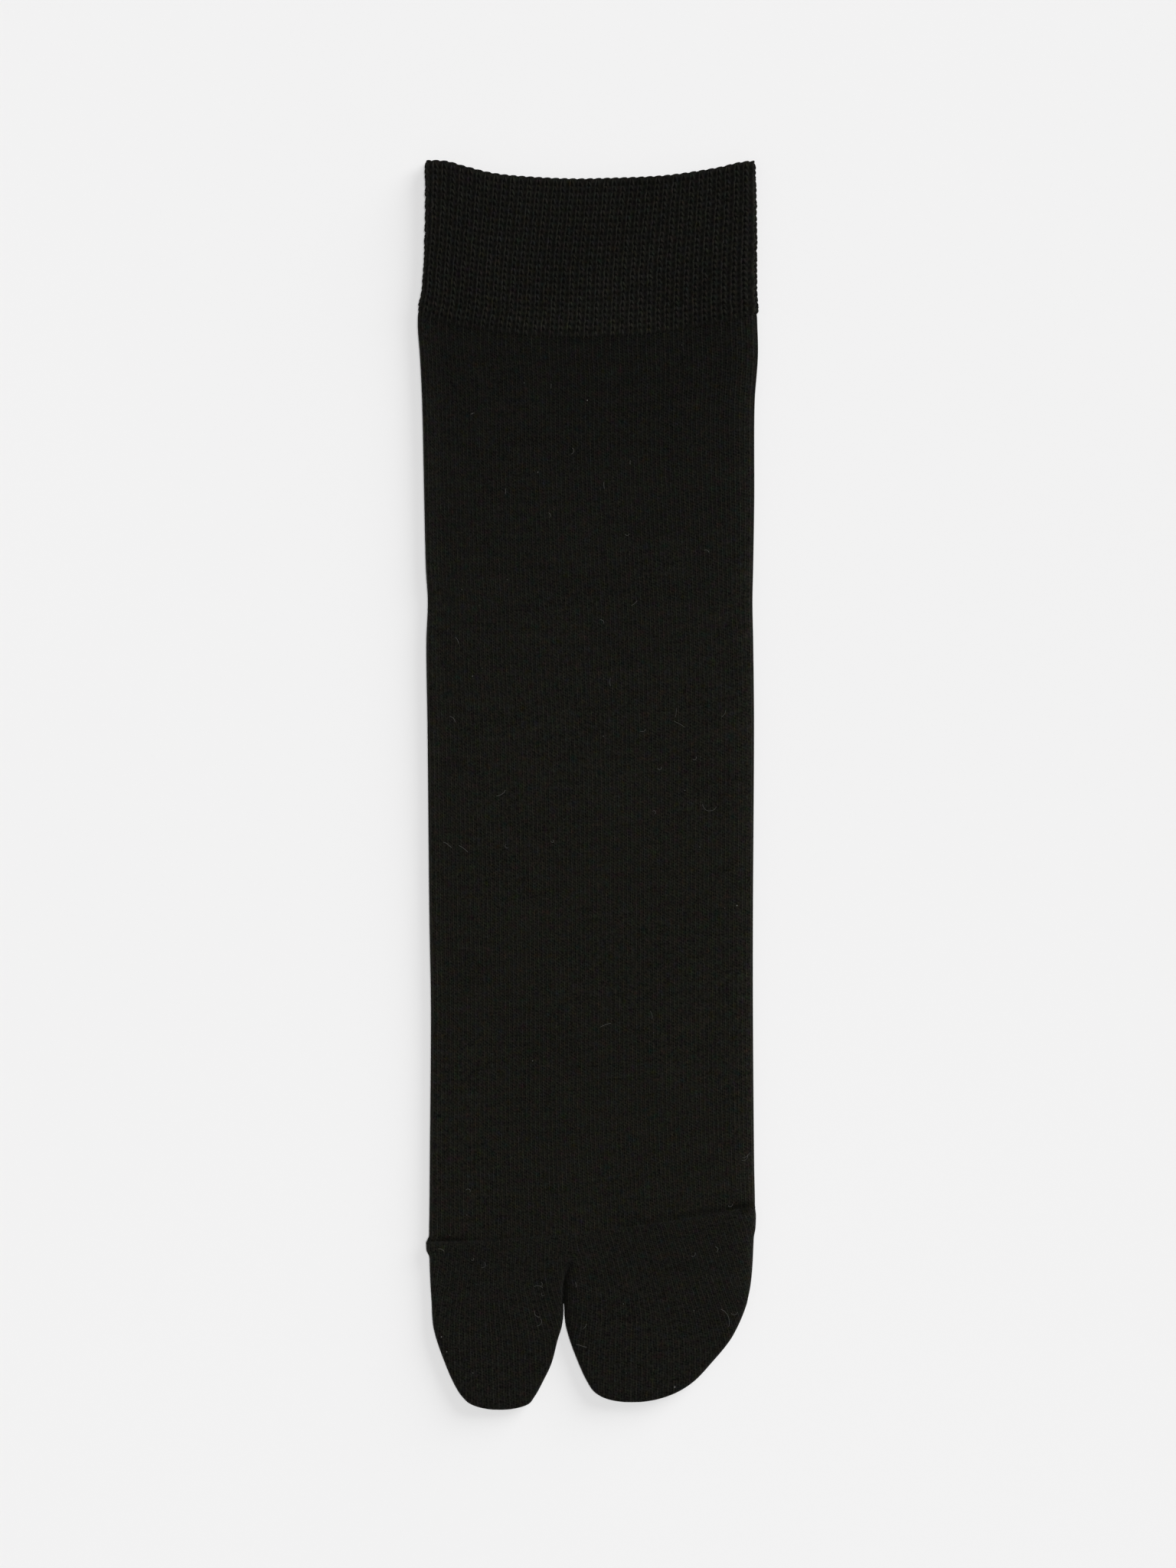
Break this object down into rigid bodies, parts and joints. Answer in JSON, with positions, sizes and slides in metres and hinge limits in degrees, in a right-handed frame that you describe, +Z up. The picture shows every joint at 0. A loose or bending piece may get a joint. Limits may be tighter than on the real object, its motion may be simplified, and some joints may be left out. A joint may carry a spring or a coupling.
{
  "type": "tabi sock",
  "caption": "Black knitted crew-length tabi sock with a ribbed cuff and a split toe, laid flat with its instep up.",
  "frame": {"origin": "the middle of the laid sock's underside, on the surface that it lies on", "axes": "+Z up; +Y along the sock from its toes to its cuff; +X across it, from the big toe's side to the little toe's side"},
  "size_m": [0.0895, 0.33, 0.0046],
  "materials": {
    "cuff_rib_knit": "matte black cotton 1x1 rib knit",
    "plain_knit": "matte black cotton plain knit",
    "toe_knit": "matte black cotton plain knit, a little thicker",
    "seam_knit": "matte black linked seam"
  },
  "bodies": {
    "root": {"cuff": "cuff_rib_knit", "leg_and_foot": "plain_knit", "toe": "toe_knit", "toe_seam": "seam_knit"}
  },
  "joints": []
}
